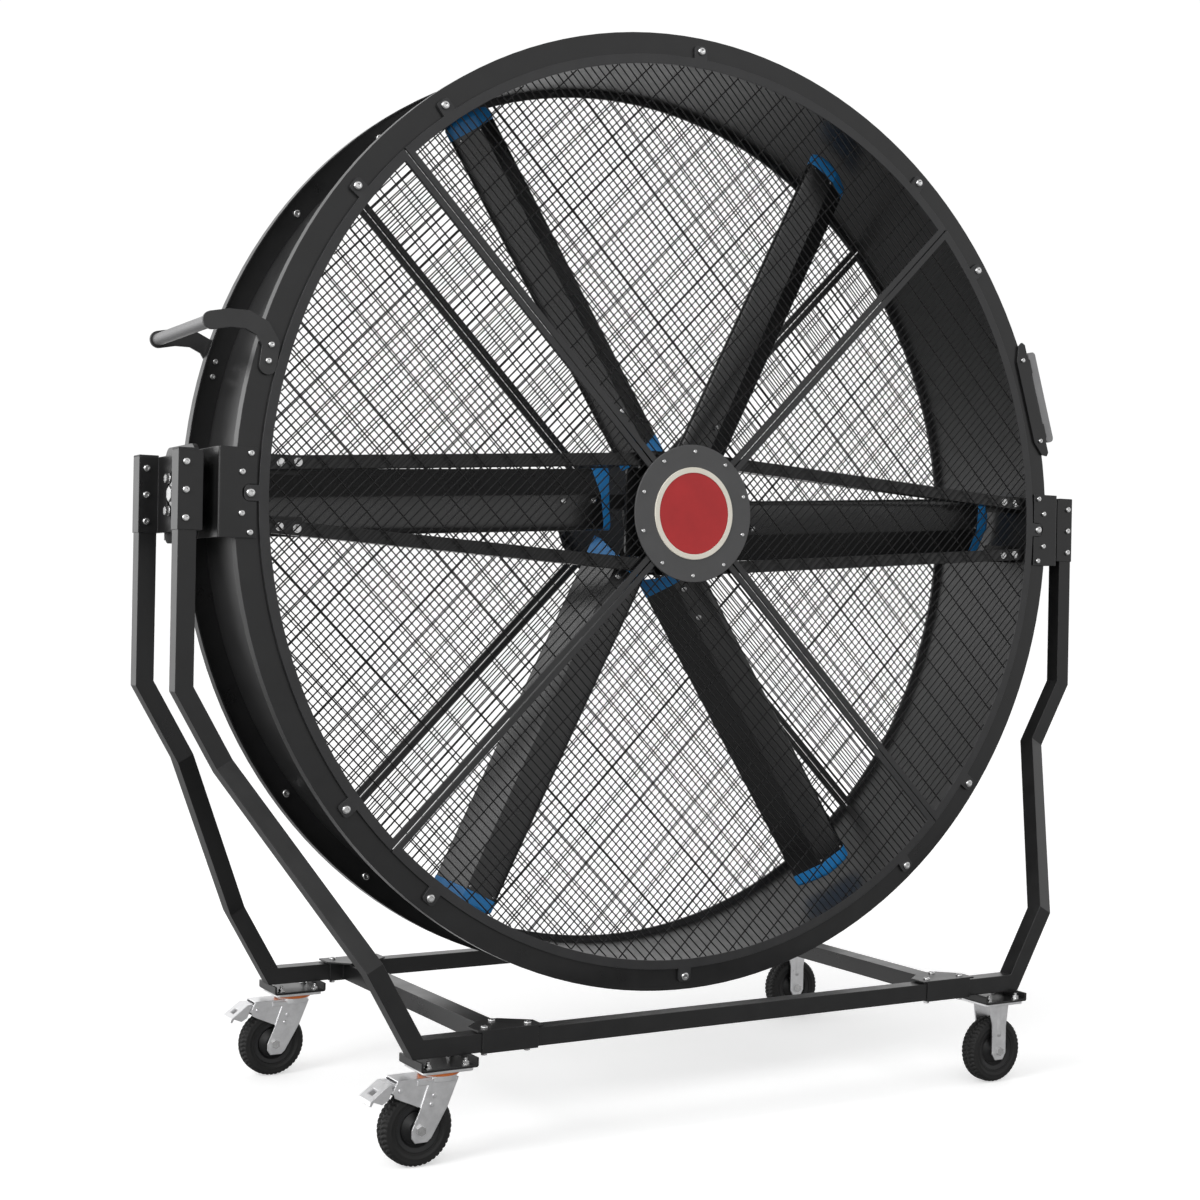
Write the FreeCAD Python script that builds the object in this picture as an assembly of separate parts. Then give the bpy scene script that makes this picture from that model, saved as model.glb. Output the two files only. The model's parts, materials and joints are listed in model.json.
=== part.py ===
import FreeCAD, Part
import os
from math import sin, cos, tan, radians, sqrt, pi, atan2, degrees
from FreeCAD import Vector as V

os.makedirs("parts", exist_ok=True)

# ---------------------------------------------------------------- dimensions, mm
HC = 1400.0            # height of the drum axis and of the tilt axis above the floor
R_FL = 1150.0          # flange outer radius
R_IN = 1092.0          # drum inner radius (86 in nominal bore)
T_SHELL = 2.5
Y_FL = 181.0           # outer face of each flange from the mid plane
T_FL = 4.0
R_BOLT = 1117.0        # flange bolt circle
BOLT_SPLIT = 7.5       # bolts sit this many degrees either side of each diagonal
R_GO, R_GI = 1098.0, 1076.0   # guard rim
T_G = 7.0              # guard frame thickness
BAR_W, BAR_GAP = 14.0, 4.0
R_NECK_I, R_NECK_O = 138.0, 150.0
WIRE_R = 1.6
PITCH_DENSE, PITCH_SPARSE = 16.8, 57.0
R_DISC = 166.0
TUBE = 40.0
TUBE_T = 2.5
POST_X, POST_Y, POST_TOP = 1244.0, 140.0, 1487.0
SLOPE = 0.5704         # inward run of the leg per unit drop
Z_BEND1, Z_BEND2, Z_BEND3 = 983.0, 818.0, 416.0
RAIL_Y, RAIL_Z = 424.0, 244.0
JOINT_X = 607.0        # centre of the tee sleeves
CASTER_X = 765.0
R_WHEEL, W_WHEEL = 80.0, 46.0
TRAIL = 54.0
PEDAL_X, PEDAL_Z = -100.0, 166.0   # brake pedal pin from the swivel axis, and its height
R_TIP, R_ROOT = 1057.0, 168.0
CHORD, PITCH = 157.0, 14.0
SKEW = 3.7             # the blades lean this many degrees into the direction of turning
Y_ROTOR = -25.0
TILT_SLOT_R, TILT_SLOT_A = 50.0, 27.0

# ---------------------------------------------------------------- helpers
def box(x0, x1, y0, y1, z0, z1):
    return Part.makeBox(x1 - x0, y1 - y0, z1 - z0, V(x0, y0, z0))

def cyl(p, d, r, h):
    return Part.makeCylinder(r, h, V(*p), V(*d))

def ring(y0, y1, ri, ro):
    a = cyl((0, y0, HC), (0, 1, 0), ro, y1 - y0)
    return a.cut(cyl((0, y0 - 1, HC), (0, 1, 0), ri, y1 - y0 + 2))

def poly_xz(pts, y0, y1):
    w = Part.makePolygon([V(x, y0, z) for x, z in pts] + [V(pts[0][0], y0, pts[0][1])])
    return Part.Face(w).extrude(V(0, y1 - y0, 0))

def poly_yz(pts, x0, x1):
    w = Part.makePolygon([V(x0, y, z) for y, z in pts] + [V(x0, pts[0][0], pts[0][1])])
    return Part.Face(w).extrude(V(x1 - x0, 0, 0))

def mx(s):
    return s.mirror(V(0, 0, 0), V(1, 0, 0))

def my(s):
    return s.mirror(V(0, 0, 0), V(0, 1, 0))

def rot_y(s, ang):
    c = s.copy()
    c.rotate(V(0, 0, HC), V(0, 1, 0), ang)
    return c

def hexa(p, d, af, h):
    # hexagon prism, across flats af, from p along d
    d = V(*d)
    u = V(0, 0, 1) if abs(d.z) < 0.9 else V(1, 0, 0)
    w = d.cross(u)
    pts = [V(*p) + u * (af / sqrt(3) * cos(radians(60 * k))) + w * (af / sqrt(3) * sin(radians(60 * k))) for k in range(7)]
    return Part.Face(Part.makePolygon(pts)).extrude(d * h)

def button(p, d, r, h):
    # domed button head with its flat on p, domed along d, with a hexagon socket
    b = Part.makeCylinder(r, h, V(*p), V(*d))
    try:
        e = [x for x in b.Edges if abs(x.CenterOfMass.sub(V(*p)).dot(V(*d)) - h) < 1e-6]
        b = b.makeFillet(min(h * 0.7, r * 0.4), e)
    except Exception:
        pass
    top = V(*p) + V(*d) * (h * 0.45)
    return b.cut(hexa((top.x, top.y, top.z), d, r * 0.8, h))

def washer_head(p, d, r, h):
    # hexagon head on a washer
    a = Part.makeCylinder(r, 2.0, V(*p), V(*d))
    q = V(*p) + V(*d) * 2.0
    return a.fuse(hexa((q.x, q.y, q.z), d, r * 1.25, h)).removeSplitter()

def save(name, shape):
    if isinstance(shape, (list, tuple)):
        shape = Part.makeCompound(list(shape))
    shape.exportStep("parts/%s.step" % name)

# ---------------------------------------------------------------- legs
def square_run(path, axes, half):
    """Closed solid of a square bar along a bent path. axes[i] = the two cross axes of
    segment i; neighbours share one of them, so every corner is a true mitre."""
    n = len(path)
    secs = []
    for k in range(n):
        if k == 0:
            a, b = axes[0]
            secs.append([path[0] + a * (half * s) + b * (half * t) for s, t in ((1, 1), (1, -1), (-1, -1), (-1, 1))])
        elif k == n - 1:
            a, b = axes[-1]
            secs.append([path[k] + a * (half * s) + b * (half * t) for s, t in ((1, 1), (1, -1), (-1, -1), (-1, 1))])
        else:
            (a0, b0), (a1, b1) = axes[k - 1], axes[k]
            pts = []
            for s, t in ((1, 1), (1, -1), (-1, -1), (-1, 1)):
                av = (a0 + a1) * (1.0 / (1.0 + a0.dot(a1)))
                bv = (b0 + b1) * (1.0 / (1.0 + b0.dot(b1)))
                pts.append(path[k] + av * (half * s) + bv * (half * t))
            secs.append(pts)
    faces = []
    for k in range(n - 1):
        for i in range(4):
            j = (i + 1) % 4
            q = [secs[k][i], secs[k][j], secs[k + 1][j], secs[k + 1][i]]
            faces.append(Part.Face(Part.makePolygon(q + [q[0]])))
    faces.append(Part.Face(Part.makePolygon(secs[0] + [secs[0][0]])))
    faces.append(Part.Face(Part.makePolygon(secs[-1] + [secs[-1][0]])))
    sol = Part.makeSolid(Part.makeShell(faces))
    if sol.Volume < 0:
        sol.reverse()
    return sol

def leg_x(z):
    return POST_X - (Z_BEND1 - z) * SLOPE

def make_leg():
    # right front leg (+X, -Y)
    P = [V(POST_X, -POST_Y, POST_TOP), V(POST_X, -POST_Y, Z_BEND1),
         V(leg_x(Z_BEND2), -POST_Y, Z_BEND2), V(leg_x(Z_BEND3), -RAIL_Y, Z_BEND3),
         V(leg_x(RAIL_Z), -RAIL_Y, RAIL_Z), V(JOINT_X + 3, -RAIL_Y, RAIL_Z)]
    ey = V(0, 1, 0)
    ax = []
    dB = (P[2] - P[1]).normalize()
    nB = dB.cross(ey).normalize()
    if nB.x < 0:
        nB = nB * -1
    dC = (P[3] - P[2]).normalize()
    mC = nB.cross(dC).normalize()
    if mC.y < 0:
        mC = mC * -1
    ax.append((V(1, 0, 0), ey))
    ax.append((nB, ey))
    ax.append((nB, mC))
    ax.append((nB, ey))
    ax.append((V(0, 0, -1), ey))
    outer = square_run(P, ax, TUBE / 2)
    P2 = list(P)
    P2[0] = P[0] + V(0, 0, 1)
    P2[-1] = P[-1] - V(1, 0, 0)
    inner = square_run(P2, ax, TUBE / 2 - TUBE_T)
    return outer.cut(inner)

leg_fr = make_leg()
save("leg_front_right", leg_fr)
save("leg_front_left", mx(leg_fr))
save("leg_rear_right", my(leg_fr))
save("leg_rear_left", mx(my(leg_fr)))

# ---------------------------------------------------------------- base rails and cross tubes
h = TUBE / 2
def rail(y):
    a = box(-JOINT_X + 3, JOINT_X - 3, y - h, y + h, RAIL_Z - h, RAIL_Z + h)
    b = box(-JOINT_X, JOINT_X, y - h + TUBE_T, y + h - TUBE_T, RAIL_Z - h + TUBE_T, RAIL_Z + h - TUBE_T)
    return a.cut(b)
save("base_rails", [rail(-RAIL_Y), rail(RAIL_Y)])

SL = 22.8              # half size of the tee sleeve outside
SLI = 20.3             # half size inside
CT_W = 24.0            # half width of the cross tube
def cross_tube():
    x0, x1 = JOINT_X - 67, JOINT_X + 67
    xc = JOINT_X + 8
    tube = box(xc - CT_W, xc + CT_W, -RAIL_Y + SL - 1, RAIL_Y - SL + 1, RAIL_Z - h, RAIL_Z + h)
    tube = tube.cut(box(xc - CT_W + 3, xc + CT_W - 3, -RAIL_Y + SL + 6, RAIL_Y - SL - 6, RAIL_Z - h + 3, RAIL_Z + h - 3))
    s = tube
    for sy in (-1, 1):
        c = sy * RAIL_Y
        sl = box(x0, x1, c - SL, c + SL, RAIL_Z - SL, RAIL_Z + SL)
        # flat gusset plate on top, over the sleeve and the first part of the tube
        pts = [(x0 - 12, c + sy * SL), (x1 + 12, c + sy * SL), (x1 + 12, c - sy * (SL + 4)), (xc + CT_W, c - sy * (SL + 50)),
               (xc - CT_W, c - sy * (SL + 50)), (x0 - 12, c - sy * (SL + 4))]
        w = Part.makePolygon([V(x, y, RAIL_Z + SL) for x, y in pts] + [V(pts[0][0], pts[0][1], RAIL_Z + SL)])
        gus = Part.Face(w).extrude(V(0, 0, 4))
        leg = box(xc - CT_W, xc + CT_W, min(c - sy * (SL + 50), c - sy * SL), max(c - sy * (SL + 50), c - sy * SL), RAIL_Z + h, RAIL_Z + SL)
        s = s.fuse(sl).fuse(gus).fuse(leg)
    for sy in (-1, 1):
        c = sy * RAIL_Y
        s = s.cut(box(x0 - 1, x1 + 1, c - SLI, c + SLI, RAIL_Z - SLI, RAIL_Z + SLI))
    return s.removeSplitter()
ct = cross_tube()
save("cross_tube_right", ct)
save("cross_tube_left", mx(ct))

# ---------------------------------------------------------------- caster channels under the corners
Z_RB = RAIL_Z - h      # underside of the rails
CH_X, CH_Y = 66.0, 56.0
CH_B = Z_RB - 20.0     # underside of the channel web
def channel(sx, sy):
    cx, cy = sx * CASTER_X, sy * RAIL_Y
    o = box(cx - CH_X, cx + CH_X, cy - CH_Y, cy + CH_Y, CH_B, Z_RB)
    o = o.makeFillet(5.0, [e for e in o.Edges if abs(e.CenterOfMass.z - CH_B) < 1e-6 and abs(abs(e.CenterOfMass.x - cx) - CH_X) < 1e-6])
    return o.cut(box(cx - CH_X + 5, cx + CH_X - 5, cy - CH_Y - 1, cy + CH_Y + 1, CH_B + 5, Z_RB + 1))
save("caster_channels", [channel(sx, sy) for sx in (-1, 1) for sy in (-1, 1)])

# ---------------------------------------------------------------- casters
Z_PL = CH_B            # top of the caster plates
Z_PB = CH_B - 6.0
BX, BY = 44.0, 40.0    # bolt pattern half spacing
PX, PY = 58.0, 54.0
def plate_blank(cx, cy):
    p = box(cx - PX, cx + PX, cy - PY, cy + PY, Z_PB, Z_PL)
    return p.makeFillet(10.0, [e for e in p.Edges if abs(e.CenterOfMass.x - cx) > PX - 1e-6 and abs(e.CenterOfMass.y - cy) > PY - 1e-6])

KING = 9.0
def top_plate(cx, cy):
    p = plate_blank(cx, cy)
    head = cyl((cx, cy, Z_PB - 4.0), (0, 0, 1), 34.0, 4.0)
    return p.fuse(head).cut(cyl((cx, cy, Z_PB - 5), (0, 0, 1), KING + 0.05, 20)).removeSplitter()
save("swivel_top_plates", [top_plate(-CASTER_X, -RAIL_Y), top_plate(-CASTER_X, RAIL_Y)])

def seal_ring(cx, cy):
    r = cyl((cx, cy, Z_PB - 9.0), (0, 0, 1), 45.0, 9.0)
    r = r.makeFillet(3.0, [e for e in r.Edges if abs(e.CenterOfMass.z - (Z_PB - 9.0)) < 1e-6 and e.Length > 200])
    return r.cut(cyl((cx, cy, Z_PB - 10), (0, 0, 1), 36.0, 20))
save("swivel_seal_rings", [seal_ring(-CASTER_X, -RAIL_Y), seal_ring(-CASTER_X, RAIL_Y)])

FY0, FY1 = 27.0, 31.5  # fork cheek inner and outer faces from the wheel plane
AX_R = 6.5
Z_CR = Z_PB - 9.4      # top of the swivel crown
def swivel_fork(cy):
    cx = -CASTER_X
    ax = cx - TRAIL
    crown = cyl((cx, cy, Z_CR - 12.0), (0, 0, 1), 40.0, 12.0)
    crown = crown.fuse(box(cx - 62, cx + 24, cy - FY1, cy + FY1, Z_CR - 16.0, Z_CR - 6.0))
    king = cyl((cx, cy, Z_CR - 16.0), (0, 0, 1), KING, Z_PL - 0.6 - (Z_CR - 16.0))
    f = crown.fuse(king)
    cheek = [(cx - 34, Z_CR - 6), (cx + 32, Z_CR - 6), (cx + 7, 123), (cx - 29, 62), (cx - 38, 54), (cx - 66, 54), (cx - 74, 65), (cx - 74, 80), (cx - 54, 126)]
    for s in (-1, 1):
        y0, y1 = sorted((cy + s * FY0, cy + s * FY1))
        f = f.fuse(poly_xz(cheek, y0, y1))
    # brake housing: a side plate each side and a cover over the trailing side of the wheel
    wing = [(cx - 30, 187), (cx - 106, 187), (cx - 116, 166), (cx - 112, 152), (cx - 100, 146), (cx - 54, 126), (cx - 30, 150)]
    for s in (-1, 1):
        y0, y1 = sorted((cy + s * FY0, cy + s * (FY0 + 1.8)))
        f = f.fuse(poly_xz(wing, y0, y1))
        # rivet heads on the cheek
        for x, z in ((cx - 23, 149), (cx - 29, 131)):
            f = f.fuse(cyl((x, cy + s * (FY1 - 0.5), z), (0, s, 0), 4.5, 1.6))
    f = f.fuse(box(cx - 106, cx - 30, cy - FY0 - 1.8, cy + FY0 + 1.8, 184, 187))
    # pedal pin
    f = f.fuse(cyl((PEDAL_X - CASTER_X, cy - FY1, PEDAL_Z), (0, 1, 0), 4.0, 2 * FY1))
    f = f.cut(cyl((ax, cy - 60, R_WHEEL), (0, 1, 0), AX_R, 120))
    return f.removeSplitter()
sw_f = swivel_fork(-RAIL_Y)
sw_r = swivel_fork(RAIL_Y)
save("swivel_fork_front", sw_f)
save("swivel_fork_rear", sw_r)

def axle(cx, cy):
    a = cyl((cx, cy - FY1 - 1, R_WHEEL), (0, 1, 0), AX_R, 2 * FY1 + 2)
    a = a.fuse(hexa((cx, cy - FY1, R_WHEEL), (0, -1, 0), 19.0, 7.0)).fuse(hexa((cx, cy + FY1, R_WHEEL), (0, 1, 0), 19.0, 9.0))
    return a.removeSplitter()
save("swivel_axle_front", axle(-CASTER_X - TRAIL, -RAIL_Y))
save("swivel_axle_rear", axle(-CASTER_X - TRAIL, RAIL_Y))

def pedal(cy):
    px = PEDAL_X - CASTER_X
    w = FY0 - 0.5
    eye = cyl((px, cy - w, PEDAL_Z), (0, 1, 0), 8.0, 2 * w)
    cx = -CASTER_X
    # folded sheet: a top that goes in between the side plates, a sloping tread, and two skirts
    top = poly_xz([(cx - 92, 181), (cx - 121, 181), (cx - 121, 176), (cx - 108, 176), (cx - 107, 168), (cx - 93, 168)], cy - w, cy + w)
    tread = poly_xz([(cx - 120, 181), (cx - 126, 181), (cx - 167, 151), (cx - 170, 143), (cx - 165, 141), (cx - 161, 148), (cx - 124, 175), (cx - 120, 176)], cy - 30, cy + 30)
    tread = tread.cut(box(cx - 156, cx - 143, cy - 13, cy + 13, 120, 200))
    p = eye.fuse(top).fuse(tread)
    for s in (-1, 1):
        y0, y1 = sorted((cy + s * 27, cy + s * 30))
        p = p.fuse(poly_xz([(cx - 120, 179), (cx - 126, 179), (cx - 161, 150), (cx - 141, 142), (cx - 127, 150), (cx - 120, 166)], y0, y1))
    shoe = box(px - 4, px + 4, cy - 14, cy + 14, PEDAL_Z - 13, PEDAL_Z - 6)
    p = p.fuse(shoe)
    return p.cut(cyl((px, cy - 60, PEDAL_Z), (0, 1, 0), 4.05, 120)).removeSplitter()
save("brake_pedal_front", pedal(-RAIL_Y))
save("brake_pedal_rear", pedal(RAIL_Y))

RIM_R = 50.0
def tyre(cx, cy):
    prof = [(RIM_R, -19), (RIM_R + 4, -21), (62, -W_WHEEL / 2), (70, -W_WHEEL / 2), (R_WHEEL - 3, -19), (R_WHEEL, -14),
            (R_WHEEL, 14), (R_WHEEL - 3, 19), (70, W_WHEEL / 2), (62, W_WHEEL / 2), (RIM_R + 4, 21), (RIM_R, 19)]
    pts = [V(cx + r, cy + y, R_WHEEL) for r, y in prof]
    f = Part.Face(Part.makePolygon(pts + [pts[0]]))
    t = f.revolve(V(cx, cy, R_WHEEL), V(0, 1, 0), 360)
    for yy in (-5.0, 5.0):
        g = cyl((cx, cy + yy - 1.5, R_WHEEL), (0, 1, 0), R_WHEEL + 2, 3.0).cut(cyl((cx, cy + yy - 2.5, R_WHEEL), (0, 1, 0), R_WHEEL - 3.5, 5.0))
        t = t.cut(g)
    return t

def rim(cx, cy):
    prof = [(AX_R + 0.05, -25.5), (16, -25.5), (18, -17), (34, -9), (40, -17), (RIM_R, -19), (RIM_R, 19), (40, 17), (34, 9), (18, 17), (16, 25.5), (AX_R + 0.05, 25.5)]
    pts = [V(cx + r, cy + y, R_WHEEL) for r, y in prof]
    f = Part.Face(Part.makePolygon(pts + [pts[0]]))
    return f.revolve(V(cx, cy, R_WHEEL), V(0, 1, 0), 360)

for nm, cx, cy in (("front_left", -CASTER_X - TRAIL, -RAIL_Y), ("rear_left", -CASTER_X - TRAIL, RAIL_Y),
                   ("front_right", CASTER_X, -RAIL_Y), ("rear_right", CASTER_X, RAIL_Y)):
    save("tyre_" + nm, tyre(cx, cy))
    save("wheel_rim_" + nm, rim(cx, cy))

def rigid_fork(cy):
    cx = CASTER_X
    f = plate_blank(cx, cy)
    f = f.fuse(box(cx - 30, cx + 30, cy - FY1, cy + FY1, Z_PB - 5, Z_PB))
    cheek = [(cx - 30, Z_PB), (cx + 30, Z_PB), (cx + 22, 140), (cx + 22, 74), (cx + 12, 58), (cx - 12, 58), (cx - 22, 74), (cx - 22, 140)]
    for s in (-1, 1):
        y0, y1 = sorted((cy + s * FY0, cy + s * FY1))
        f = f.fuse(poly_xz(cheek, y0, y1))
        # pressed stiffening rib down the middle of the cheek
        yc = cy + s * (FY1 + 2.2 - 12.0)
        rib = cyl((cx, yc, 122.0), (0, 0, 1), 12.0, Z_PB - 1.0 - 122.0).fuse(Part.makeSphere(12.0, V(cx, yc, 122.0)))
        y0, y1 = sorted((cy + s * (FY1 - 0.5), cy + s * (FY1 + 10.0)))
        f = f.fuse(rib.common(box(cx - 20, cx + 20, y0, y1, 90, Z_PB)))
    return f.cut(cyl((cx, cy - 60, R_WHEEL), (0, 1, 0), AX_R, 120)).removeSplitter()
save("rigid_forks", [rigid_fork(-RAIL_Y), rigid_fork(RAIL_Y)])
save("rigid_axles", [axle(CASTER_X, -RAIL_Y), axle(CASTER_X, RAIL_Y)])

def plate_studs(cx, cy):
    out = []
    for ix in (-1, 1):
        for iy in (-1, 1):
            x, y = cx + ix * BX, cy + iy * BY
            # nut and stud end standing on the web of the channel
            out.append(cyl((x, y, CH_B + 5), (0, 0, 1), 9.0, 1.6).fuse(hexa((x, y, CH_B + 6.6), (0, 0, 1), 13.0, 6.5)).fuse(cyl((x, y, CH_B + 13.1), (0, 0, 1), 4.0, 6.0)).removeSplitter())
    return out
studs = []
for sx in (-1, 1):
    for sy in (-1, 1):
        studs += plate_studs(sx * CASTER_X, sy * RAIL_Y)

# ---------------------------------------------------------------- pivot yokes on the posts
SV = 22.0              # sleeve half size outside
SVI = 20.2
Z_SV0 = HC - 82.0
YK0, YK1 = POST_X - SV - 10.0, POST_X - SV    # yoke plate, inner and outer faces
PIN_R = 20.0
def arc_slot(rm, hw, a0, a1, x0, x1):
    # curved slot about the tilt axis, angles from +Y towards +Z
    def P(r, a):
        return V(x0, r * cos(radians(a)), HC + r * sin(radians(a)))
    am = (a0 + a1) / 2
    e = [Part.Arc(P(rm - hw, a0), P(rm - hw, am), P(rm - hw, a1)).toShape(), Part.Arc(P(rm + hw, a0), P(rm + hw, am), P(rm + hw, a1)).toShape()]
    def cap(a, sgn):
        c = P(rm, a)
        t = V(0, -sin(radians(a)) * sgn, cos(radians(a)) * sgn)
        return Part.Arc(P(rm - hw, a), c + t * hw, P(rm + hw, a)).toShape()
    w = Part.Wire(Part.__sortEdges__(e + [cap(a0, -1), cap(a1, 1)]))
    return Part.Face(w).extrude(V(x1 - x0, 0, 0))

def yoke():
    s = box(YK0, YK1, -POST_Y - SV, POST_Y + SV, Z_SV0, POST_TOP)
    for sy in (-1, 1):
        c = sy * POST_Y
        s = s.fuse(box(YK1, POST_X + SV, c - SV, c + SV, Z_SV0, POST_TOP))
    for sy in (-1, 1):
        c = sy * POST_Y
        s = s.cut(box(POST_X - SVI, POST_X + SVI, c - SVI, c + SVI, Z_SV0 - 1, POST_TOP + 1))
    s = s.cut(cyl((YK0 - 1, 0, HC), (1, 0, 0), PIN_R + 0.05, 12))
    for a in (45, 135, 225, 315):
        s = s.cut(arc_slot(TILT_SLOT_R, 6.6, a - TILT_SLOT_A, a + TILT_SLOT_A, YK0 - 1, YK1 + 1))
    return s.removeSplitter()
yk = yoke()
save("pivot_yoke_right", yk)
save("pivot_yoke_left", mx(yk))
caps = []
for sx in (-1, 1):
    for sy in (-1, 1):
        c = box(sx * POST_X - SV, sx * POST_X + SV, sy * POST_Y - SV, sy * POST_Y + SV, POST_TOP, POST_TOP + 4)
        caps.append(c.makeFillet(2.0, [e for e in c.Edges if abs(e.CenterOfMass.z - POST_TOP - 4) < 1e-6]))
save("post_caps", caps)

sb = []
for sx in (-1, 1):
    for sy in (-1, 1):
        for dz in (61, 2, -57):
            sb.append(button((sx * (POST_X + 5), sy * POST_Y - SV, HC + dz), (0, -1, 0), 8.0, 6.0))
            sb.append(hexa((sx * (POST_X + 5), sy * POST_Y + SV, HC + dz), (0, 1, 0), 13.0, 6.0))
        # tee sleeve bolts: washer heads on the gusset, nuts below the sleeve
        for dx in (-52.0, 52.0):
            x = sx * (JOINT_X + dx)
            sb.append(button((x, sy * RAIL_Y, RAIL_Z + SL + 4), (0, 0, 1), 8.0, 5.0))
            sb.append(hexa((x, sy * RAIL_Y, RAIL_Z - SL), (0, 0, -1), 13.0, 8.0))
        sb.append(button((sx * (JOINT_X + 8), sy * (RAIL_Y - SL - 30), RAIL_Z + SL + 4), (0, 0, 1), 8.0, 5.0))
save("stand_fasteners", sb + studs)

# ---------------------------------------------------------------- drum
save("drum_shell", ring(-Y_FL + T_FL, Y_FL - T_FL, R_IN, R_IN + T_SHELL))
def flange():
    f = ring(-Y_FL, -Y_FL + T_FL, R_IN, R_FL)
    return f.fuse(ring(-Y_FL, -Y_FL + 26.0, R_FL - 4.0, R_FL)).removeSplitter()
fl = flange()
save("flange_ring_front", fl)
save("flange_ring_rear", my(fl))

YG1 = -Y_FL            # back of the front guard frames
YG0 = -Y_FL - T_G
B0, B1 = BAR_GAP / 2, BAR_GAP / 2 + BAR_W
def guard_frame():
    """Quadrant between the +X axis and the +Z axis; rotated into place afterwards."""
    a = ring(YG0, YG1, R_GI, R_GO).common(box(B0, 2000, YG0 - 1, YG1 + 1, HC + B0, HC + 2000))
    for ang in (45, 45 - 45 + BOLT_SPLIT, 90 - BOLT_SPLIT):
        c = box(R_GI + 4, R_BOLT + 13, YG0, YG1, HC - 17, HC + 17)
        c = c.makeFillet(9.0, [e for e in c.Edges if abs(e.CenterOfMass.x - R_BOLT - 13) < 1e-6 and abs(abs(e.CenterOfMass.z - HC) - 17) < 1e-6])
        a = a.fuse(rot_y(c, -ang))
    xo = sqrt(R_GI ** 2 - B1 ** 2) + 1.0
    a = a.fuse(box(R_NECK_I + 2, xo, YG0, YG1, HC + B0, HC + B1))
    a = a.fuse(box(B0, B1, YG0, YG1, HC + R_NECK_I + 2, HC + xo))
    a = a.fuse(ring(YG0, YG1, R_NECK_I, R_NECK_O).common(box(B0, 2000, YG0 - 1, YG1 + 1, HC + B0, HC + 2000)))
    return a.removeSplitter()

def wires(dense_along_b):
    """Wires of the same quadrant, two layers that do not touch."""
    out = []
    g = 0.05
    yd, ys = YG0 + WIRE_R + 0.1, YG1 - WIRE_R - 0.1
    def run(pos):
        lo = B1 + g
        if pos < R_NECK_O + WIRE_R:
            lo = max(lo, sqrt(max(0.0, (R_NECK_O + 1.0) ** 2 - max(0.0, pos - WIRE_R) ** 2)) + 0.2)
        hi = sqrt(R_GI ** 2 - (pos + WIRE_R) ** 2) - g
        return lo, hi
    def add(pos, along_z, y):
        lo, hi = run(pos)
        if hi - lo < 12:
            return
        if along_z:
            out.append(cyl((pos, y, HC + lo), (0, 0, 1), WIRE_R, hi - lo))
        else:
            out.append(cyl((lo, y, HC + pos), (1, 0, 0), WIRE_R, hi - lo))
    k = B1 + PITCH_DENSE * 0.6
    while k < R_GI - 12:
        add(k, dense_along_b, yd)
        k += PITCH_DENSE
    k = B1 + PITCH_SPARSE * 0.6
    while k < R_GI - 12:
        add(k, not dense_along_b, ys)
        k += PITCH_SPARSE
    return out

gf = guard_frame()
quad = (-45, -135, 45, 135)
front_frames = [rot_y(gf, q) for q in quad]
save("guard_frames_front", front_frames)
save("guard_frames_rear", [my(s) for s in front_frames])
wf = wires(True)
front_wires = [rot_y(w, q) for q in quad for w in wf]
save("guard_wires_front", front_wires)
wr = wires(False)
save("guard_wires_rear", [my(rot_y(w, q)) for q in quad for w in wr])

def disc():
    d = cyl((0, YG0 - 4.0, HC), (0, 1, 0), R_DISC, 4.0)
    return d.makeFillet(1.2, [e for e in d.Edges if abs(e.CenterOfMass.y - (YG0 - 4.0)) < 1e-6 and e.Length > 500])
dk = disc()
save("hub_discs", [dk, my(dk)])

# ---------------------------------------------------------------- motor support and motor
BM_Z, BM_Z0, BM_H = 67.1, 129.0, 15.0   # arm height off the axis at the drum and at its inner end, and half depth
BM_X0, BM_X1 = 96.0, 1078.0
BM_Y0, BM_Y1 = -174.0, -136.0
bore = cyl((0, -300, HC), (0, 1, 0), R_IN, 600)
def beam(sx, s):
    def outline(d, e):
        return [(sx * (BM_X0 - e), HC + s * BM_Z0 - d), (sx * (BM_X1 + e), HC + s * BM_Z - d), (sx * (BM_X1 + e), HC + s * BM_Z + d), (sx * (BM_X0 - e), HC + s * BM_Z0 + d)]
    return poly_xz(outline(BM_H, 0), BM_Y0, BM_Y1).cut(poly_xz(outline(BM_H - 3, 5), BM_Y0 + 3, BM_Y1 - 3))
save("motor_beams", [beam(sx, s) for sx in (1, -1) for s in (1, -1)])
clips = []
for sx in (-1, 1):
    for s in (-1, 1):
        z = HC + s * BM_Z
        c = box(980, 1110, BM_Y1, BM_Y1 + 6, z - 22, z + 22).fuse(box(1080, 1110, BM_Y1, BM_Y1 + 40, z - 22, z + 22))
        c = c.common(bore).removeSplitter()
        clips.append(c if sx > 0 else mx(c))
save("beam_clips", clips)
mp = box(-157, 157, BM_Y1, BM_Y1 + 8, HC - 106, HC + 106)
mp = mp.makeFillet(12.0, [e for e in mp.Edges if abs(abs(e.CenterOfMass.x) - 157) < 1e-6 and abs(abs(e.CenterOfMass.z - HC) - 106) < 1e-6])
mp = mp.fuse(box(-120, 120, BM_Y1, BM_Y1 + 8, HC - 150, HC + 150)).removeSplitter()
save("motor_plate", mp)
SH_R = 19.0
Y_M0, Y_M1 = BM_Y1 + 8, -66.0
def motor():
    m = cyl((0, Y_M0, HC), (0, 1, 0), 122.0, Y_M1 - Y_M0)
    for i in range(4):
        y = Y_M0 + 12 + i * 11
        m = m.cut(ring(y, y + 5, 112, 130))
    m = m.fuse(cyl((0, Y_M1, HC), (0, 1, 0), 45.0, 3.0))
    m = m.cut(cyl((0, Y_M0 + 15, HC), (0, 1, 0), SH_R + 0.05, 200))
    return m.removeSplitter()
save("motor", motor())

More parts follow.
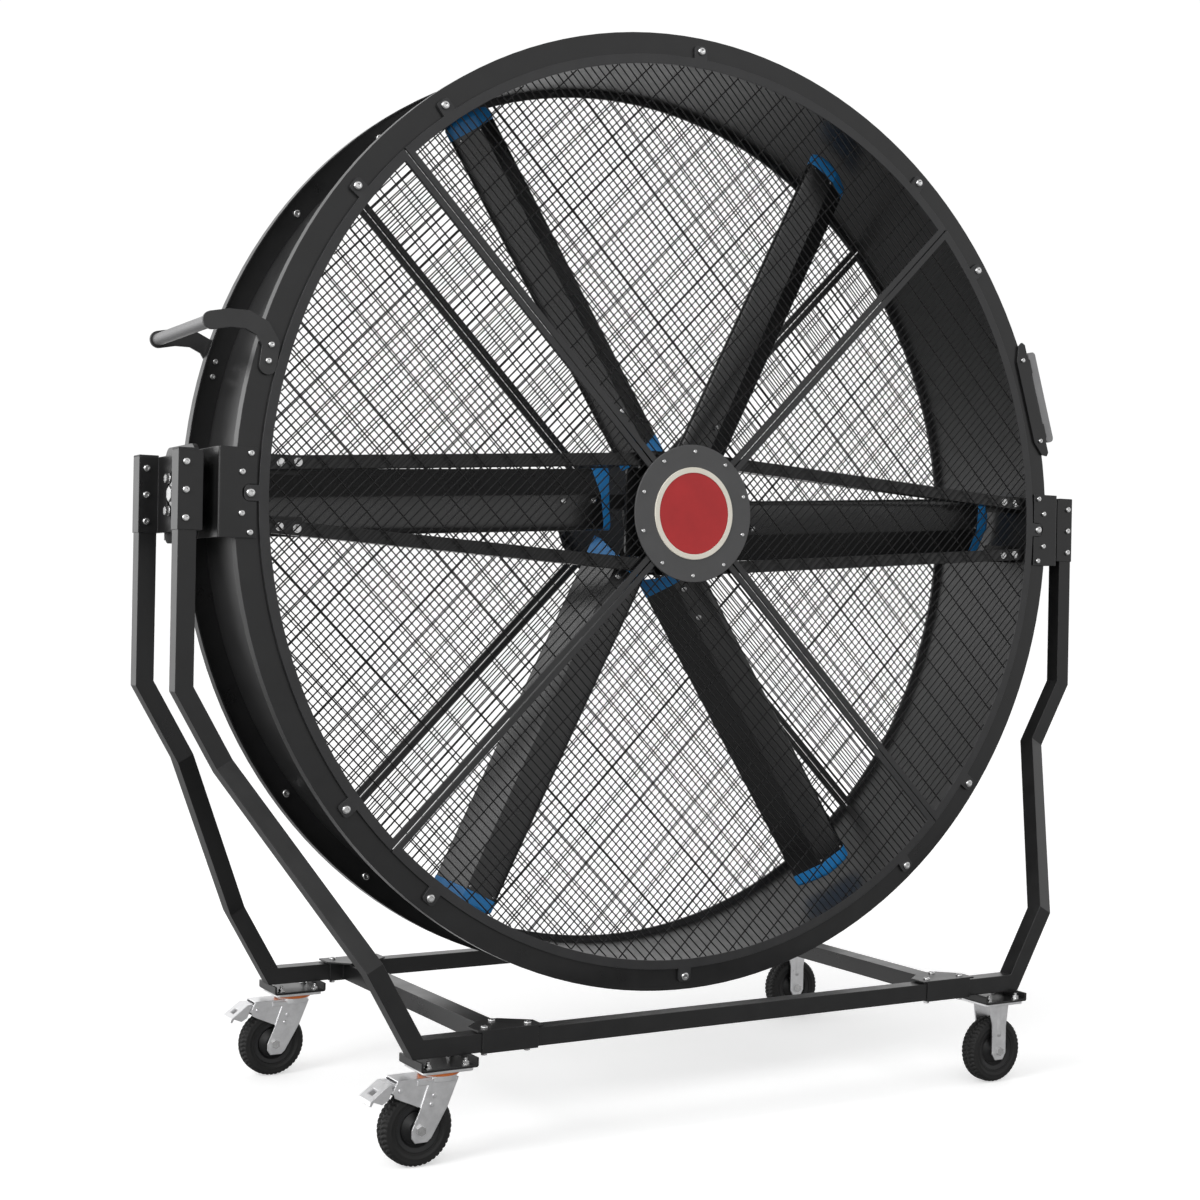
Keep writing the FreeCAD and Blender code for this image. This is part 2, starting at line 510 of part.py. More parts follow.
# ---------------------------------------------------------------- rotor
b = radians(PITCH)
def loc(r, c, t):
    # station r out, chord position c from the leading edge, height t on the suction side
    cc = c - 44.3
    return V(r, Y_ROTOR + (cc - 18.0) * sin(b) - (t - 8.0) * cos(b), HC - cc * cos(b) - (t - 8.0) * sin(b))

UP = [(0, 4), (2, 10), (9, 15), (30, 19.5), (58, 23), (84, 25)]
TE = [(157, 1.2), (157, 0.0)]
LO = [(157, 0.0), (112, 3.0), (70, 0.0), (34, -5.5), (10, -5.0), (1.5, -1), (0, 4)]
def airfoil(r, grow=0.0):
    # nose and front face as one curve up to the ridge, a flat face from the ridge to the tail, and the hollow under side
    def g(c, t):
        cx, tx = 70.0, 7.0
        return (cx + (c - cx) * (1 + grow / 75.0), tx + (t - tx) * (1 + grow / 15.0))
    u = Part.BSplineCurve(); u.interpolate([loc(r, *g(*p)) for p in UP])
    l = Part.BSplineCurve(); l.interpolate([loc(r, *g(*p)) for p in LO])
    back = Part.makeLine(loc(r, *g(*UP[-1])), loc(r, *g(*TE[0])))
    te = Part.makeLine(loc(r, *g(*TE[0])), loc(r, *g(*TE[1])))
    return Part.Face(Part.Wire([u.toShape(), back, te, l.toShape()]))
CAV = [(14, -1), (16, 12), (38, 17), (84, 21), (104, 14.5), (104, 6), (70, 3.2), (34, -2.2)]
def prism(pts, r0, r1):
    w = Part.makePolygon([loc(r0, *p) for p in pts] + [loc(r0, *pts[0])])
    return Part.Face(w).extrude(V(r1 - r0, 0, 0))
def skew(s):
    c = s.copy()
    c.rotate(V(R_ROOT, 0, HC), V(0, 1, 0), -SKEW)
    return c
R_B0, R_B1 = R_ROOT, R_TIP - 25.0
blade = skew(airfoil(R_B0).extrude(V(R_B1 - R_B0, 0, 0)).cut(prism(CAV, R_B0 - 1, R_B1 + 1)))
ARM = [(50, 5.2), (86, 5.2), (86, 16.6), (50, 16.6)]
arm = skew(prism(ARM, 56.0, 320.0))
SLOT = [(49.7, 4.9), (86.3, 4.9), (86.3, 16.9), (49.7, 16.9)]
root_cap = skew(airfoil(R_ROOT - 46, 1.0).extrude(V(46, 0, 0)).cut(prism(SLOT, R_ROOT - 60, R_ROOT + 1)))
# the inner end of the root cap is hollowed out towards the hub and longest at the tail
root_cap = root_cap.cut(poly_xz([(x, HC + z) for x, z in ((60, -150), (122, -150), (125, -106), (140, -70), (148, -40), (149, 0), (146, 45), (146, 90), (60, 90))], -200, 200))
tip_cap = airfoil(R_B1, 1.0).extrude(V(R_TIP - R_B1, 0, 0))
tip_cap = skew(tip_cap)
bolts = []
for r, c, t, hr, hh in ((192.0, 68, 25.2, 7.5, 5.0), (276.0, 68, 25.2, 7.5, 5.0), (R_B1 - 8, 13, 18.0, 3.0, 1.8), (R_B1 - 8, 78, 25.6, 3.0, 1.8)):
    p = loc(r, c, t)
    d = loc(r, c, t + 1) - p
    bolts.append(skew(button((p.x, p.y, p.z), (d.x, d.y, d.z), hr, hh)))
angs = [60 * i - 0.7 for i in range(6)]
save("rotor_blades", [rot_y(blade, -a) for a in angs])
save("blade_end_caps", [rot_y(c, -a) for a in angs for c in (root_cap, tip_cap)])
save("blade_bolts", [rot_y(s, -a) for a in angs for s in bolts])
HUB_Y0, HUB_Y1 = -62.0, 14.0
hub = cyl((0, HUB_Y0, HC), (0, 1, 0), 78.0, HUB_Y1 - HUB_Y0)
for a in angs:
    hub = hub.fuse(rot_y(arm, -a))
hub = hub.cut(cyl((0, HUB_Y0 - 1, HC), (0, 1, 0), SH_R, 200)).removeSplitter()
save("rotor_hub", hub)
shaft = cyl((0, Y_M0 + 16, HC), (0, 1, 0), SH_R, HUB_Y1 + 6 - (Y_M0 + 16))
shaft = shaft.fuse(cyl((0, HUB_Y1, HC), (0, 1, 0), 30.0, 6.0)).fuse(hexa((0, HUB_Y1 + 6, HC), (0, 1, 0), 36.0, 12.0)).removeSplitter()
save("rotor_shaft", shaft)

# ---------------------------------------------------------------- side brackets and tilt plates
BR_Z = 96.0
BR_X0, BR_X1 = 1103.0, 1187.0
BR_T = 6.0
def bracket():
    s = box(BR_X1 - BR_T, BR_X1, -Y_FL - BR_T, Y_FL + BR_T, HC - BR_Z, HC + BR_Z)
    for sy in (-1, 1):
        y0, y1 = sorted((sy * Y_FL, sy * (Y_FL + BR_T)))
        s = s.fuse(box(BR_X0, BR_X1, y0, y1, HC - BR_Z, HC + BR_Z))
    s = s.removeSplitter()
    s = s.makeFillet(5.0, [e for e in s.Edges if abs(e.CenterOfMass.x - BR_X1) < 1e-6 and abs(abs(e.CenterOfMass.y) - Y_FL - BR_T) < 1e-6])
    notch = cyl((R_BOLT, -300, HC), (0, 1, 0), 18.5, 600).fuse(box(1090, R_BOLT, -300, 300, HC - 18.5, HC + 18.5))
    s = s.cut(notch)
    return s
br = bracket()
save("side_bracket_right", br)
save("side_bracket_left", mx(br))

TP0, TP1 = BR_X1, YK0 - 0.5
def tilt_plate():
    p = box(TP1 - 10, TP1, -104, 104, HC - 106, HC + 106)
    p = p.makeFillet(30.0, [e for e in p.Edges if abs(abs(e.CenterOfMass.y) - 104) < 1e-6 and abs(abs(e.CenterOfMass.z - HC) - 106) < 1e-6])
    p = p.fuse(cyl((TP0, 0, HC), (1, 0, 0), 72.0, TP1 - 10 - TP0))
    p = p.fuse(cyl((TP1, 0, HC), (1, 0, 0), PIN_R, YK1 + 0.6 - TP1))
    p = p.fuse(cyl((YK1 + 0.6, 0, HC), (1, 0, 0), 28.0, 4.0)).fuse(hexa((YK1 + 4.6, 0, HC), (1, 0, 0), 30.0, 9.0))
    for a in (45, 135, 225, 315):
        y, z = TILT_SLOT_R * cos(radians(a)), HC + TILT_SLOT_R * sin(radians(a))
        p = p.fuse(cyl((TP1, y, z), (1, 0, 0), 6.0, YK1 + 0.6 - TP1)).fuse(cyl((YK1 + 0.6, y, z), (1, 0, 0), 11.0, 2.5)).fuse(hexa((YK1 + 3.1, y, z), (1, 0, 0), 17.0, 8.0))
    return p.removeSplitter()
tp = tilt_plate()
save("tilt_plate_right", tp)
save("tilt_plate_left", mx(tp))

# ---------------------------------------------------------------- handle
GX, GZ = -1208.0, HC + 358.0
def stadium(p, q, w, y0, y1):
    dx, dz = q[0] - p[0], q[1] - p[1]
    L = sqrt(dx * dx + dz * dz)
    nx, nz = -dz / L * w, dx / L * w
    s = poly_xz([(p[0] + nx, p[1] + nz), (q[0] + nx, q[1] + nz), (q[0] - nx, q[1] - nz), (p[0] - nx, p[1] - nz)], y0, y1)
    return s.fuse(cyl((p[0], y0, p[1]), (0, 1, 0), w, y1 - y0)).fuse(cyl((q[0], y0, q[1]), (0, 1, 0), w, y1 - y0))
HP = [(-1083, HC + 272), (-1077, HC + 318), (-1096, HC + 350), (-1130, HC + 366), (-1170, HC + 366), (GX, GZ)]
def handle_arm():
    s = None
    for p, q in zip(HP[:-1], HP[1:]):
        t = stadium(p, q, 19.5, -Y_FL - 7, -Y_FL)
        s = t if s is None else s.fuse(t)
    s = s.removeSplitter()
    lip = cyl((GX, -Y_FL - 7, GZ), (0, 1, 0), 19.5, 7.0)
    # the arm clears the guard rim
    return s.fuse(lip).cut(cyl((0, -300, HC), (0, 1, 0), R_GO + 0.6, 600)).removeSplitter()
ha = handle_arm()
save("handle_arms", [ha, my(ha)])
grip = cyl((GX, -Y_FL, GZ), (0, 1, 0), 14.0, 2 * Y_FL).cut(cyl((GX, -Y_FL - 1, GZ), (0, 1, 0), 11.5, 2 * Y_FL + 2))
save("handle_grip", grip)

# ---------------------------------------------------------------- control box
CA = 17.8              # angle of the box on the drum
def place(s):
    c = s.copy()
    c.rotate(V(0, 0, HC), V(0, 1, 0), -CA)
    return c
BX0, BX1 = 1166.0, 1192.0
def control_bracket():
    pts = [(1120, -112), (1120, 112), (1136, 150), (1152, 158), (1160, 150), (1160, 112), (BX0, 108), (BX0, 72), (1160, 68), (1160, -68), (BX0, -72), (BX0, -108), (1160, -112), (1160, -150), (1152, -158), (1136, -150)]
    return place(poly_xz([(x, HC + z) for x, z in pts], -Y_FL - 6, -Y_FL))
cb = control_bracket()
save("control_brackets", [cb, my(cb)])
KN_Z1, KN_Z2 = 46.0, -40.0
def control_box():
    o = box(BX0, BX1, -Y_FL - 2, Y_FL + 2, HC - 125, HC + 125)
    o = o.makeFillet(11.0, [e for e in o.Edges if abs(abs(e.CenterOfMass.z - HC) - 125) < 1e-6 and abs(e.CenterOfMass.y) < 1e-6])
    i = box(BX0 + 2.5, BX1 - 2.5, -Y_FL + 1, Y_FL - 1, HC - 122, HC + 122)
    i = i.makeFillet(8.0, [e for e in i.Edges if abs(abs(e.CenterOfMass.z - HC) - 122) < 1e-6 and abs(e.CenterOfMass.y) < 1e-6])
    o = o.cut(i)
    for z in (KN_Z1, KN_Z2):
        o = o.cut(cyl((BX1 - 6, 0, HC + z), (1, 0, 0), 5.05, 20))
    o = o.cut(cyl((BX0 + 13, Y_FL - 10, HC - 70), (0, 1, 0), 7.0, 30))
    return place(o)
save("control_box", control_box())
def knob(z, r, hgt):
    k = cyl((BX1 + 0.4, 0, HC + z), (1, 0, 0), r, hgt)
    k = k.makeFillet(2.0, [e for e in k.Edges if abs(e.CenterOfMass.x - (BX1 + 0.4 + hgt)) < 1e-6 and e.Length > 30])
    k = k.fuse(box(BX1 + 0.4 + hgt - 1, BX1 + hgt + 6, -3.0, 3.0, HC + z - r + 2, HC + z + r - 2))
    k = k.fuse(cyl((BX1 - 4, 0, HC + z), (1, 0, 0), 5.0, 6))
    return place(k.removeSplitter())
save("power_selector", knob(KN_Z1, 19.0, 10.0))
save("speed_knob", knob(KN_Z2, 23.0, 12.0))
def gland():
    x, y, z = BX0 + 13, Y_FL + 2, HC - 70
    g = hexa((x, y, z), (0, 1, 0), 20.0, 6.0).fuse(cyl((x, y + 6, z), (0, 1, 0), 9.2, 14)).fuse(cyl((x, y - 2.9, z), (0, 1, 0), 7.0, 3.0))
    return place(g.cut(cyl((x, y - 10, z), (0, 1, 0), 5.0, 60)).removeSplitter())
save("cable_gland", gland())

# ---------------------------------------------------------------- fasteners of the drum
fb = []
ang12 = [0, 90, 180, 270] + [d + s * BOLT_SPLIT for d in (45, 135, 225, 315) for s in (-1, 1)]
for a in ang12:
    x, z = R_BOLT * cos(radians(a)), HC + R_BOLT * sin(radians(a))
    fb.append(button((x, YG0, z), (0, -1, 0), 10.0, 6.0))
for sx in (-1, 1):
    for x, z in ((1117, 84), (1136, 44), (1136, -44), (1117, -84)):
        fb.append(button((sx * x, -Y_FL - BR_T, HC + z), (0, -1, 0), 7.0, 6.0))
fb += [button((-1077, -Y_FL - 7, HC + 317), (0, -1, 0), 7.0, 6.0), button((-1083, -Y_FL - 7, HC + 282), (0, -1, 0), 7.0, 6.0)]
for z in (-112, 112):
    p = V(1140, 0, z)
    ca, sa = cos(radians(CA)), sin(radians(CA))
    fb.append(button((p.x * ca - p.z * sa, -Y_FL - 6, HC + p.x * sa + p.z * ca), (0, -1, 0), 6.5, 5.0))
# nuts behind the front flange; on the rear flange the heads are inside and the nuts outside
def nut(p, d):
    return Part.makeCylinder(10.0, 1.6, V(*p), V(*d)).fuse(hexa((p[0], p[1] + 1.6 * d[1], p[2]), d, 16.0, 7.0)).removeSplitter()
inner, rear = [], []
for a in ang12:
    x, z = R_BOLT * cos(radians(a)), HC + R_BOLT * sin(radians(a))
    inner.append(nut((x, -Y_FL + T_FL, z), (0, 1, 0)))
    inner.append(button((x, Y_FL - T_FL, z), (0, -1, 0), 10.0, 6.0))
    rear.append(nut((x, -YG0, z), (0, 1, 0)))
for x, z in ((-1077, 317), (-1083, 282)):
    inner.append(button((x, Y_FL - T_FL, HC + z), (0, -1, 0), 7.0, 6.0))
rear += [my(s) for s in fb[len(ang12):]] + inner
ds = []
for k in range(10):
    a = radians(36 * k + 18)
    ds.append(button((150 * cos(a), YG0 - 4.0, HC + 150 * sin(a)), (0, -1, 0), 5.0, 3.0))
dsr = [my(s) for s in ds]
bb = []
for sx in (-1, 1):
    for s in (-1, 1):
        for x in (1006.0, 1046.0):
            bb.append(washer_head((sx * x, BM_Y0, HC + s * (BM_Z + (BM_X1 - x) * (BM_Z0 - BM_Z) / (BM_X1 - BM_X0))), (0, -1, 0), 9.5, 4.0))
save("drum_fasteners", fb + rear + ds + dsr + bb)
print("nodes", len(os.listdir("parts")))
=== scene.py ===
import json
import math

import bmesh
import bpy
from mathutils import Matrix, Vector


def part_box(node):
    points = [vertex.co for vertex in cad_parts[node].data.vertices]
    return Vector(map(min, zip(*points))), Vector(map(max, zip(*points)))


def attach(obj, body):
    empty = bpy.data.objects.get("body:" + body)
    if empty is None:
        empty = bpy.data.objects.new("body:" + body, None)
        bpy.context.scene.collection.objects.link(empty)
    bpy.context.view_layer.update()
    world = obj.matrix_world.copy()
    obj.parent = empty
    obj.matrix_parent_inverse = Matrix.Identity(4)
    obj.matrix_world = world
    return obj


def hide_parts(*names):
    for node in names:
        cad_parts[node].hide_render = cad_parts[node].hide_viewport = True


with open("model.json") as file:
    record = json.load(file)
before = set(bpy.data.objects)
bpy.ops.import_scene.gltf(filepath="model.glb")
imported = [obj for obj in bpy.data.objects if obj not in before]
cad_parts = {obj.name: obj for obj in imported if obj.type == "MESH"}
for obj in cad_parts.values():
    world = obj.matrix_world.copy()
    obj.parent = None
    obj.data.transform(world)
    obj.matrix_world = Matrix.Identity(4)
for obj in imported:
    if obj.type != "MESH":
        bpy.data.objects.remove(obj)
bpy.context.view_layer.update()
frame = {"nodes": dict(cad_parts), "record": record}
nodes = frame["nodes"]

scene = bpy.context.scene
HC = 1.400  # height of the drum axis


# ------------------------------------------------------------------ materials
def link(tree, a, b):
    tree.links.new(a, b)


def new_material(name):
    m = bpy.data.materials.new(name)
    m.use_nodes = True
    t = m.node_tree
    t.nodes.clear()
    out = t.nodes.new("ShaderNodeOutputMaterial")
    p = t.nodes.new("ShaderNodeBsdfPrincipled")
    link(t, p.outputs[0], out.inputs[0])
    return m, t, p


def noise(t, coord, scale, detail=3.0, rough=0.5, stretch=None):
    n = t.nodes.new("ShaderNodeTexNoise")
    n.inputs["Scale"].default_value = scale
    n.inputs["Detail"].default_value = detail
    n.inputs["Roughness"].default_value = rough
    if stretch is None:
        link(t, coord, n.inputs["Vector"])
    else:
        mp = t.nodes.new("ShaderNodeMapping")
        mp.inputs["Scale"].default_value = stretch
        link(t, coord, mp.inputs["Vector"])
        link(t, mp.outputs[0], n.inputs["Vector"])
    return n.outputs[0]


def span(t, value, a, b, lo, hi):
    r = t.nodes.new("ShaderNodeMapRange")
    link(t, value, r.inputs["Value"])
    r.inputs["From Min"].default_value = a
    r.inputs["From Max"].default_value = b
    r.inputs["To Min"].default_value = lo
    r.inputs["To Max"].default_value = hi
    return r.outputs[0]


def math_node(t, op, a, b=None, second=0.5):
    n = t.nodes.new("ShaderNodeMath")
    n.operation = op
    link(t, a, n.inputs[0])
    if b is None:
        n.inputs[1].default_value = second
    else:
        link(t, b, n.inputs[1])
    return n.outputs[0]


def mix_colour(t, fac, a, b):
    n = t.nodes.new("ShaderNodeMix")
    n.data_type = "RGBA"
    link(t, fac, n.inputs[0])
    for sock, v in ((n.inputs[6], a), (n.inputs[7], b)):
        if isinstance(v, tuple):
            sock.default_value = (*v, 1.0)
        else:
            link(t, v, sock)
    return n.outputs[2]


def finish_of(
    name,
    base,
    alt,
    rough=0.45,
    rough_span=0.10,
    metallic=0.0,
    grain=1100.0,
    grain_height=0.00008,
    mottle=18.0,
    edge=None,
    edge_radius=0.0022,
    edge_amount=0.6,
    dust=None,
    dust_amount=0.15,
    stretch=None,
    coat=0.0,
    specular=0.5,
    aniso=0.0,
):
    """Paint, plastic, rubber or metal: mottled colour, uneven gloss, fine grain, edges painted lighter (partly wear,
    partly a painted highlight) and a little dust on top.
    """
    m, t, p = new_material(name)
    tc = t.nodes.new("ShaderNodeTexCoord").outputs["Object"]
    big = noise(t, tc, 2.3, 4.0, 0.55)
    mid = noise(t, tc, mottle, 5.0, 0.6, stretch)
    fine = noise(t, tc, grain, 2.0, 0.5, stretch)
    col = mix_colour(t, span(t, mid, 0.3, 0.7, 0.0, 1.0), base, alt)
    bev = t.nodes.new("ShaderNodeBevel")
    bev.samples = 4
    bev.inputs["Radius"].default_value = edge_radius
    geo = t.nodes.new("ShaderNodeNewGeometry")
    r = span(t, math_node(t, "ADD", big, mid), 0.6, 1.4, rough - rough_span, rough + rough_span)
    # edges get the lighter edge colour: partly paint wear, partly a painted highlight along rounded edges
    if edge is not None:
        d = t.nodes.new("ShaderNodeVectorMath")
        d.operation = "DOT_PRODUCT"
        link(t, bev.outputs[0], d.inputs[0])
        link(t, geo.outputs["Normal"], d.inputs[1])
        edge_wear_and_highlight = span(t, d.outputs["Value"], 0.985, 0.80, 0.0, edge_amount)
        edge_wear_and_highlight = math_node(t, "MULTIPLY", edge_wear_and_highlight, span(t, noise(t, tc, 45.0, 4.0, 0.65), 0.35, 0.65, 0.25, 1.0))
        col = mix_colour(t, edge_wear_and_highlight, col, edge)
    if dust is not None:
        sep = t.nodes.new("ShaderNodeSeparateXYZ")
        link(t, geo.outputs["Normal"], sep.inputs[0])
        up = span(t, sep.outputs["Z"], 0.35, 1.0, 0.0, dust_amount)
        up = math_node(t, "MULTIPLY", up, span(t, noise(t, tc, 9.0, 6.0, 0.7), 0.3, 0.7, 0.3, 1.0))
        col = mix_colour(t, up, col, dust)
        r = math_node(t, "ADD", r, math_node(t, "MULTIPLY", up, None, 0.5))
    link(t, col, p.inputs["Base Color"])
    link(t, r, p.inputs["Roughness"])
    p.inputs["Metallic"].default_value = metallic
    p.inputs["Specular IOR Level"].default_value = specular
    p.inputs["Coat Weight"].default_value = coat
    p.inputs["Coat Roughness"].default_value = 0.25
    p.inputs["Anisotropic"].default_value = aniso
    bump = t.nodes.new("ShaderNodeBump")
    bump.inputs["Strength"].default_value = 0.6
    bump.inputs["Distance"].default_value = grain_height
    link(t, fine, bump.inputs["Height"])
    link(t, bev.outputs[0], bump.inputs["Normal"])
    link(t, bump.outputs[0], p.inputs["Normal"])
    return m


DUST = (0.16, 0.155, 0.15)
MAT = {
    "frame_paint": finish_of(
        "frame_paint", (0.0075, 0.0075, 0.0078), (0.0115, 0.0115, 0.0119), 0.30, 0.05, edge=(0.10, 0.10, 0.104), dust=DUST, dust_amount=0.08, specular=0.50,
    ),
    "drum_paint": finish_of(
        "drum_paint", (0.0085, 0.0085, 0.0088), (0.0125, 0.0125, 0.0129), 0.31, 0.06, edge=(0.08, 0.08, 0.084), dust=DUST, dust_amount=0.08,
    ),
    "guard_paint": finish_of(
        "guard_paint", (0.0055, 0.0055, 0.0058), (0.0085, 0.0085, 0.0088), 0.42, 0.08, edge=(0.035, 0.035, 0.036), edge_radius=0.0012, specular=0.3,
    ),
    # a lighter copy of the drum paint: painted sheen standing in for light on the drum shell and handle arms
    "drum_paint_lit_copy": finish_of(
        "drum_paint_lit_copy", (0.021, 0.021, 0.0215), (0.028, 0.028, 0.0285), 0.34, 0.05, edge=(0.08, 0.08, 0.084), dust=DUST, dust_amount=0.06,
    ),
    # a lighter copy of the guard paint: painted sheen standing in for light reflected off the guard frame bars
    "guard_paint_lit_copy": finish_of(
        "guard_paint_lit_copy", (0.020, 0.020, 0.021), (0.028, 0.028, 0.029), 0.42, 0.07, edge=(0.09, 0.09, 0.094), edge_radius=0.0014,
    ),
    "disc_grey": finish_of(
        "disc_grey", (0.066, 0.066, 0.067), (0.077, 0.077, 0.0785), 0.55, 0.07, edge=(0.18, 0.18, 0.185), grain=900.0,
    ),
    "tyre_rubber": finish_of(
        "tyre_rubber", (0.008, 0.008, 0.008), (0.014, 0.0137, 0.0135), 0.58, 0.10, edge=(0.032, 0.031, 0.030), grain=1600.0, grain_height=0.00015, specular=0.35,
    ),
    "rim_black": finish_of(
        "rim_black", (0.009, 0.009, 0.0095), (0.014, 0.014, 0.0145), 0.38, 0.08, edge=(0.05, 0.05, 0.05), specular=0.4,
    ),
    "zinc_plate": finish_of(
        "zinc_plate", (0.78, 0.78, 0.79), (0.90, 0.90, 0.91), 0.32, 0.08, metallic=1.0, grain=700.0, grain_height=0.00004, mottle=60.0, edge=(0.94, 0.94, 0.95),
    ),
    "bright_steel": finish_of(
        "bright_steel", (0.66, 0.66, 0.66), (0.78, 0.78, 0.78), 0.22, 0.06, metallic=1.0, grain=900.0, grain_height=0.00003, mottle=90.0, edge=(0.82, 0.82, 0.82), edge_radius=0.0010,
    ),
    "seal_orange": finish_of(
        "seal_orange", (0.72, 0.17, 0.03), (0.80, 0.22, 0.05), 0.45, 0.08, edge=(0.85, 0.35, 0.14),
    ),
    "cap_blue": finish_of(
        "cap_blue", (0.020, 0.235, 0.60), (0.027, 0.265, 0.66), 0.38, 0.06, edge=(0.10, 0.34, 0.66),
    ),
    "blade_black": finish_of(
        "blade_black", (0.0075, 0.0075, 0.0079), (0.0110, 0.0110, 0.0114), 0.27, 0.03, edge=(0.06, 0.06, 0.063), grain=1400.0, grain_height=0.00003, mottle=6.0, specular=0.85,
    ),
    "motor_black": finish_of(
        "motor_black", (0.010, 0.010, 0.010), (0.016, 0.016, 0.016), 0.50, 0.08, edge=(0.06, 0.06, 0.06), grain_height=0.00012,
    ),
    "grip_grey": finish_of(
        "grip_grey", (0.160, 0.160, 0.163), (0.188, 0.188, 0.191), 0.40, 0.08, edge=(0.22, 0.22, 0.22), grain=700.0,
    ),
    "plastic_black": finish_of(
        "plastic_black", (0.015, 0.015, 0.016), (0.022, 0.022, 0.023), 0.48, 0.08, edge=(0.07, 0.07, 0.07), grain=800.0, grain_height=0.00012,
    ),
    "box_grey": finish_of(
        "box_grey", (0.220, 0.220, 0.223), (0.255, 0.255, 0.259), 0.46, 0.08, edge=(0.30, 0.30, 0.30), grain=800.0, grain_height=0.00012,
    ),
    "badge_cream": finish_of("badge_cream", (0.74, 0.70, 0.60), (0.79, 0.75, 0.66), 0.35, 0.06, edge=(0.9, 0.88, 0.82), edge_radius=0.001),
    "badge_red": finish_of("badge_red", (0.40, 0.012, 0.014), (0.46, 0.016, 0.018), 0.35, 0.06, edge=(0.6, 0.08, 0.08), edge_radius=0.001),
}

# the clamp bolts that come through the yoke plates are bare steel: outside the plates the paint gives way to metal
X_YOKE = 1.2222
tilt = finish_of(
    "tilt_plate_paint", (0.0085, 0.0085, 0.0088), (0.0125, 0.0125, 0.0129), 0.31, 0.06, edge=(0.08, 0.08, 0.084), dust=DUST, dust_amount=0.08,
)
t = tilt.node_tree
p = next(n for n in t.nodes if n.type == "BSDF_PRINCIPLED")
sep = t.nodes.new("ShaderNodeSeparateXYZ")
link(t, t.nodes.new("ShaderNodeTexCoord").outputs["Object"], sep.inputs[0])
bare = span(t, math_node(t, "ABSOLUTE", sep.outputs["X"]), X_YOKE, X_YOKE + 0.0002, 0.0, 1.0)
link(t, mix_colour(t, bare, p.inputs["Base Color"].links[0].from_socket, (0.62, 0.62, 0.62)), p.inputs["Base Color"])
link(t, bare, p.inputs["Metallic"])
MAT["tilt_plate_paint"] = tilt

slots = {s["node"]: s["material_slot"] for s in frame["record"]["subparts"]}
for name, o in nodes.items():
    o.data.materials.clear()
    # guard frame bars take the lighter copy of the guard paint, a painted sheen
    if name.startswith("guard_frames"):
        mat = "guard_paint_lit_copy"
    # drum shell and handle arms take the lighter copy of the drum paint, a painted sheen
    elif name in ("drum_shell", "handle_arms"):
        mat = "drum_paint_lit_copy"
    elif name == "control_box":
        mat = "box_grey"
    elif name.startswith("tilt_plate"):
        mat = "tilt_plate_paint"
    else:
        mat = slots[name]
    o.data.materials.append(MAT[mat])


# ------------------------------------------------------------------ mesh helpers
def add_mesh(name, verts, faces, mat, body, smooth=False):
    me = bpy.data.meshes.new(name)
    me.from_pydata([tuple(v) for v in verts], [], faces)
    me.validate()
    bm = bmesh.new()
    bm.from_mesh(me)
    bmesh.ops.recalc_face_normals(bm, faces=bm.faces)
    bm.to_mesh(me)
    bm.free()
    me.update()
    if smooth:
        me.polygons.foreach_set("use_smooth", [True] * len(me.polygons))
    o = bpy.data.objects.new(name, me)
    scene.collection.objects.link(o)
    me.materials.append(MAT[mat])
    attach(o, body)
    return o


def revolve_y(profile, cx, y0, cz, n, close):
    """Rings of points round an axis along Y; profile holds (radius, y)."""
    verts, faces = [], []
    m = len(profile)
    for i in range(n):
        a = 2 * math.pi * i / n
        for r, y in profile:
            verts.append((cx + r * math.cos(a), y0 + y, cz + r * math.sin(a)))
    for i in range(n):
        j = (i + 1) % n
        for k in range(m if close else m - 1):
            l = (k + 1) % m
            faces.append((i * m + k, i * m + l, j * m + l, j * m + k))
    return verts, faces


# ------------------------------------------------------------------ badge: a plain plate with a raised rim
def plate_ring(name, r0, r1, y, h, mat):
    prof = [(r0, y), (r0, y - h), (r1 - 0.0008, y - h), (r1, y - h + 0.0008), (r1, y)]
    v, f = revolve_y(prof, 0.0, 0.0, HC, 128, True)
    return add_mesh(name, v, f, mat, "drum")


Y_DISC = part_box("hub_discs")[0][1]
plate_ring("badge_rim", 0.0985, 0.1115, Y_DISC, 0.0024, "badge_cream")
plate_ring("badge_field", 0.0004, 0.0985, Y_DISC, 0.0016, "badge_red")


# ------------------------------------------------------------------ rounded ends of the blade tips
def curve_through(pts, n):
    """Catmull-Rom curve through the points, n steps a segment."""
    out = []
    q = [(2 * pts[0][0] - pts[1][0], 2 * pts[0][1] - pts[1][1])] + list(pts) + [(2 * pts[-1][0] - pts[-2][0], 2 * pts[-1][1] - pts[-2][1])]
    for i in range(1, len(q) - 2):
        for k in range(n):
            u = k / n
            out.append(
                tuple(
                    0.5 * (2 * q[i][j] + (q[i + 1][j] - q[i - 1][j]) * u + (2 * q[i - 1][j] - 5 * q[i][j] + 4 * q[i + 1][j] - q[i + 2][j]) * u * u + (3 * q[i][j] - q[i - 1][j] - 3 * q[i + 1][j] + q[i + 2][j]) * u ** 3)
                    for j in (0, 1)
                )
            )
    out.append(tuple(pts[-1]))
    return out


